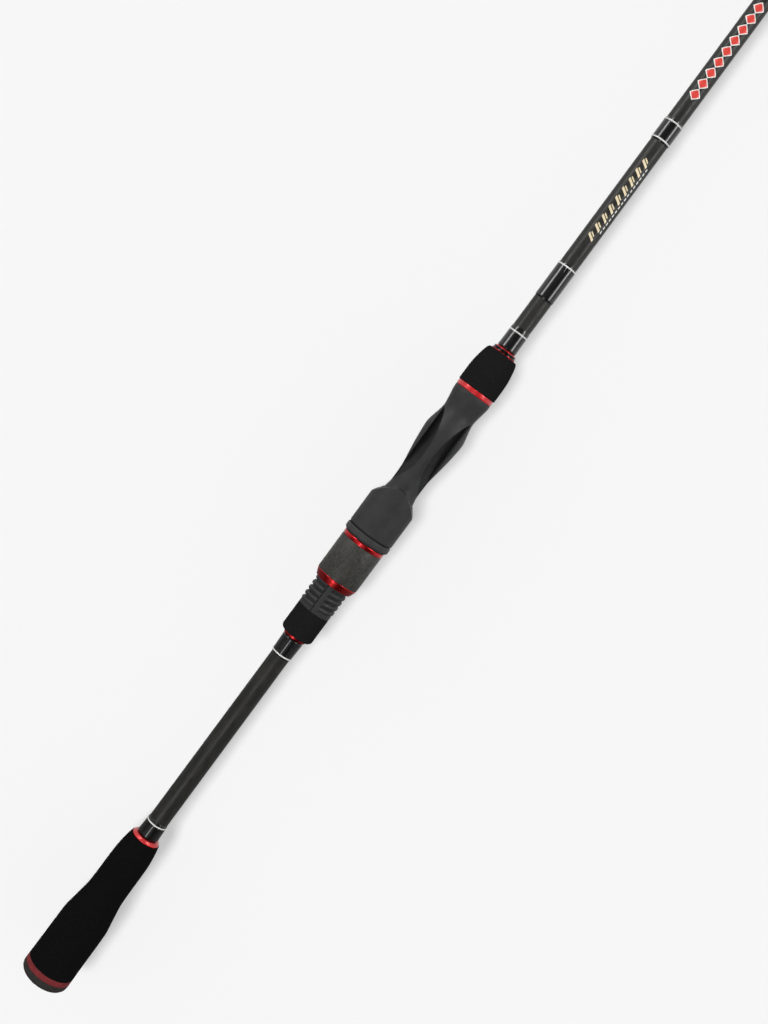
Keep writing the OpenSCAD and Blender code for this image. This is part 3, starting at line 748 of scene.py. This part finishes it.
def foot_wrap(body, x_bend, x_end):
    """Thread wound over a foot and a little way past its end, as one bead of epoxy."""
    side = 1 if x_end > x_bend else -1
    near, far = x_bend + 1.8 * side, x_end + 3 * side
    half_angle = 2.0 / blank_radius(body, x_bend)
    thickness, swell, fade, round_end = 0.3, 0.8, 4, 1.3

    def over_foot(x, r, angle):
        """The bead's outside swells over the foot and fades out past its end."""
        if r < blank_radius(body, x) + 0.01:
            return r
        off = abs(angle - UNDERSIDE)
        hump = math.cos(math.pi / 2 * min(1, off / half_angle)) ** 0.7
        past_end = min(1, max(0, (far - x) * side / fade))
        return r + swell * hump * past_end

    count = 48
    xs = [min(near, far) + abs(far - near) * k / count for k in range(count + 1)]
    bead = []
    for x in xs:
        from_end = min(x - xs[0], xs[-1] - x)
        rise = math.sqrt(1 - (1 - min(1, from_end / round_end)) ** 2)
        bead.append((x, blank_radius(body, x) + 0.03 + thickness * rise))
    closing = [(xs[-1], blank_radius(body, xs[-1])), (xs[0], blank_radius(body, xs[0]))]
    return turned(bead + closing, 72, shape=over_foot)


def add_guide(number):
    """Frame, ring and wraps of one guide; returns its wraps."""
    node = f"guide_{number}_frame"
    body = NODES[node]["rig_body"]
    x, z, ring_r = add_ring(f"guide_{number}_ring", f"guide_{number}_ceramic")
    low, high = box_mm(node)
    reach = high.x - x - FOOT_LENGTH + 1
    large, two_feet = ring_r > 5, x - low.x > reach
    level = -blank_radius(body, x) - FOOT_HEIGHT / 2
    wire = 1.5 if large else 1.15
    hold = ring_r + 0.4
    across, down = hold * math.sin(math.radians(50)), z + hold * math.cos(math.radians(50))
    parts = [ring_holder(x, z, ring_r), guide_foot(x + reach - 1, high.x, level)]
    for s in (-1, 1):
        points = [(x + reach + 1, s * 0.5, level), (x + reach - 1.2, s * 0.6, level - 0.3),
                  (x + reach * 0.5, s * across * 0.62, (level + down) / 2 - 0.2), (x + 0.2, s * across, down)]
        parts.append(leg(points, wire, wire * 0.8))
    wraps = [foot_wrap(body, x + reach - 1, high.x)]
    if two_feet:
        parts.append(guide_foot(x - reach + 1, low.x, level))
        points = [(x - reach - 1, 0, level), (x - reach + 1.2, 0, level - 0.3),
                  (x - reach * 0.5, 0, (level + z + hold) / 2), (x - 0.2, 0, z + hold)]
        parts.append(leg(points, wire * 1.4, wire * 0.8))
        wraps.append(foot_wrap(body, x - reach + 1, low.x))
    piece = add_piece(f"guide_{number}_wire_frame", parts, [node])
    fuse(piece, 0.14 if large else 0.11, 3)
    return wraps


def add_tip_top():
    """A tube over the blank's end, with two legs that carry the last ring."""
    x, z, ring_r = add_ring("tip_top_ring", "tip_top_ceramic")
    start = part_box("tip_top_frame")[0].x / MM
    end = BLANKS["tip_section"][-1][0]
    blank_r = blank_radius("tip_section", start)
    tube = [(start, blank_r), (start, 1.5), (start + 0.4, 1.58), (end - 0.6, 1.5), (end, 1.25),
            (end, BLANKS["tip_section"][-1][1])]
    parts = [turned(rounded(tube, 0.15), 48), ring_holder(x, z, ring_r)]
    hold = ring_r + 0.4
    for s in (-1, 1):
        points = [(start + 5, s * 1.0, -1.1), (start + 11, s * 1.5, -1.5), (end + 1, s * 2.6, -2.2),
                  (x, s * hold * math.sin(math.radians(75)), z + hold * math.cos(math.radians(75)))]
        parts.append(leg(points, 1.0, 0.9))
    fuse(add_piece("tip_top_wire_frame", parts, ["tip_top_frame"]), 0.11, 3)


add_hook_keeper()
wraps_of = {"rod": [], "tip_section": []}
for number in range(1, 9):
    wraps_of[NODES[f"guide_{number}_frame"]["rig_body"]] += add_guide(number)
add_piece("butt_guide_wraps_epoxy", wraps_of["rod"], ["butt_guide_wraps"])
add_piece("tip_guide_wraps_epoxy", wraps_of["tip_section"], ["tip_guide_wraps"])
add_tip_top()

# ---- Printed marks on the blank: plain lozenges and slanted bars, with no lettering ----


def printed(body, rows, lift):
    """A thin printed patch. rows lists (x0, x1, s), where s runs round the blank towards -Y."""
    points = []
    for x0, x1, s in rows:
        for x, height in ((x0, 0), (x0, lift), (x1, lift), (x1, 0)):
            r = blank_radius(body, x)
            points.append((x, -(r + height) * math.sin(s / r), (r + height) * math.cos(s / r)))
    faces = [[0, 1, 2, 3], [len(points) - 1 - k for k in range(4)]]
    for i in range(len(rows) - 1):
        for k in range(4):
            a, b = 4 * i + k, 4 * i + (k + 1) % 4
            faces.append([a, b, b + 4, a + 4])
    return points, faces


def lozenge(x, half_length, half_width, lift):
    """A lozenge on top of the blank."""
    rows = []
    for k in range(-6, 7):
        t = k / 6
        reach = half_length * (1 - abs(t)) + 0.05
        rows.append((x - reach, x + reach, half_width * t))
    return printed("rod", rows, lift)


def slanted_bar(x, width, s0, s1, slant, lift):
    """A bar that runs round the blank from s0 to s1 and moves by slant along it."""
    rows = []
    for k in range(9):
        t = k / 8
        place = x + slant * t
        rows.append((place, place + width, s0 + (s1 - s0) * t))
    return printed("rod", rows, lift)


def add_mark(name, parts, color):
    """Printed patches of one colour, with no CAD node of their own."""
    add_piece(name, parts, body="rod", look=PAINTS[color])


def add_marks():
    """Cream bars in front of the hook keeper, then a row of red lozenges with pale edges."""
    bars_start, bars_end, lozenges_start, lozenges_end = 507, 559, 595, 655
    count = 9
    pitch = (bars_end - bars_start) / count
    bars = [slanted_bar(bars_start + pitch * k, 1.5, 2.3, -1.6, 2.4, 0.03) for k in range(count)]
    bars += [slanted_bar(bars_start + pitch * k + 2.6, 0.8, 1.6, -0.9, 1.5, 0.03) for k in range(count)]
    add_mark("blank_cream_bars", bars, "cream")
    dashes = [slanted_bar(bars_start + 2.6 * k + 6, 1.6, 3.9, 3.2, 0.4, 0.03) for k in range(16)]
    add_mark("blank_white_dashes", dashes, "white")
    pitch = (lozenges_end - lozenges_start) / count
    middles = [lozenges_start + pitch * (k + 0.5) for k in range(count)]
    add_mark("blank_lozenge_edges", [lozenge(x, 3.3, 3.5, 0.025) for x in middles], "white")
    add_mark("blank_lozenges", [lozenge(x, 2.6, 2.8, 0.05) for x in middles], "red")


add_marks()

# ---- Floor and light ----


def add_floor():
    """A matt pale floor just below the rod, which glossy surfaces don't mirror."""
    size = 30
    mesh = bpy.data.meshes.new("floor")
    height = cad_box[0].z - 0.0004
    corners = [(-size, -size, height), (size, -size, height), (size, size, height), (-size, size, height)]
    mesh.from_pydata(corners, [], [[0, 1, 2, 3]])
    floor = bpy.data.objects.new("floor", mesh)
    floor.visible_glossy = False
    bpy.context.scene.collection.objects.link(floor)
    look = Look("floor", (0.45, 0.45, 0.45), 0.9, Specular_IOR_Level=0, Emission_Strength=0.42)
    look.shader.inputs["Emission Color"].default_value = (1, 1, 1, 1)
    mesh.materials.append(look.material)


def add_backdrop():
    """A pale dome behind everything, which only the camera sees."""
    mesh = bpy.data.meshes.new("backdrop")
    dome = bmesh.new()
    bmesh.ops.create_uvsphere(dome, u_segments=48, v_segments=24, radius=28)
    dome.to_mesh(mesh)
    dome.free()
    backdrop = bpy.data.objects.new("backdrop", mesh)
    backdrop.visible_diffuse = False
    backdrop.visible_glossy = False
    backdrop.visible_shadow = False
    bpy.context.scene.collection.objects.link(backdrop)
    look = Look("backdrop", (0, 0, 0), 1, Specular_IOR_Level=0, Emission_Strength=0.94)
    look.shader.inputs["Emission Color"].default_value = (1, 1, 1, 1)
    mesh.materials.append(look.material)


def add_light(name, place, target, size, power):
    """A rectangular light that shows only as a reflection."""
    data = bpy.data.lights.new(name, "AREA")
    data.shape = "RECTANGLE"
    data.size, data.size_y = size
    data.energy = power
    light = bpy.data.objects.new(name, data)
    light.location = place
    light.rotation_euler = (Vector(target) - Vector(place)).to_track_quat("-Z", "Y").to_euler()
    light.visible_diffuse = False
    light.visible_camera = False
    bpy.context.scene.collection.objects.link(light)


def add_sun(name, tilt, turn, spread, power):
    """A soft source far overhead, tilted by tilt degrees towards the direction turn, that gives no glints."""
    data = bpy.data.lights.new(name, "SUN")
    data.angle = math.radians(spread)
    data.energy = power
    sun = bpy.data.objects.new(name, data)
    towards = Vector((math.cos(math.radians(turn)), math.sin(math.radians(turn)), 0))
    away = towards * math.sin(math.radians(tilt)) + Vector((0, 0, math.cos(math.radians(tilt))))
    sun.rotation_euler = away.to_track_quat("Z", "Y").to_euler()
    sun.visible_glossy = False
    bpy.context.scene.collection.objects.link(sun)


def add_sky():
    """A pale studio that is darker overhead and behind the butt."""
    world = bpy.data.worlds.new("studio")
    bpy.context.scene.world = world
    world.use_nodes = True
    nodes, links = world.node_tree.nodes, world.node_tree.links
    split = nodes.new("ShaderNodeSeparateXYZ")
    links.new(nodes.new("ShaderNodeTexCoord").outputs["Generated"], split.inputs["Vector"])
    strength = nodes.new("ShaderNodeMath")
    strength.operation = "MULTIPLY"
    ramps = [("Z", 0.05, 0.6, 0.85, 0.03), ("X", -0.3, -0.06, 0.2, 1)]
    for factor, (axis, start, end, low, high) in zip(strength.inputs, ramps):
        ramp = nodes.new("ShaderNodeMapRange")
        for socket, value in (("From Min", start), ("From Max", end), ("To Min", low), ("To Max", high)):
            ramp.inputs[socket].default_value = value
        links.new(split.outputs[axis], ramp.inputs["Value"])
        links.new(ramp.outputs["Result"], factor)
    links.new(strength.outputs["Value"], nodes["Background"].inputs["Strength"])
    nodes["Background"].inputs["Color"].default_value = (1, 1, 1, 1)


bpy.context.scene.view_settings.view_transform = "Standard"
add_floor()
add_backdrop()
add_sky()
add_sun("key", tilt=6.5, turn=100, spread=13, power=2.55)
add_sun("fill", tilt=0, turn=0, spread=150, power=0.75)
for side in (-1, 1):
    add_light(f"strip_{side}", (1.72, 1.1 * side, 0.8), (1.72, 0, 0), (2.5, 0.3), 22)
    add_light(f"panel_{side}", (1.72, 1.12 * side, 0.82), (1.72, 0, 0), (2.5, 0.9), 9)
add_light("rear_box", (-0.5, 0.4, 1.0), (-0.5, 0.4, 0), (1.7, 1.4), 3)
add_light("rear_strip", (-0.4, 0.16, 0.95), (-0.4, 0.1, 0), (1.1, 0.09), 3)
add_light("glint", (0.62, 0.02, 1.0), (0.5, 0, 0), (0.05, 0.05), 0.5)
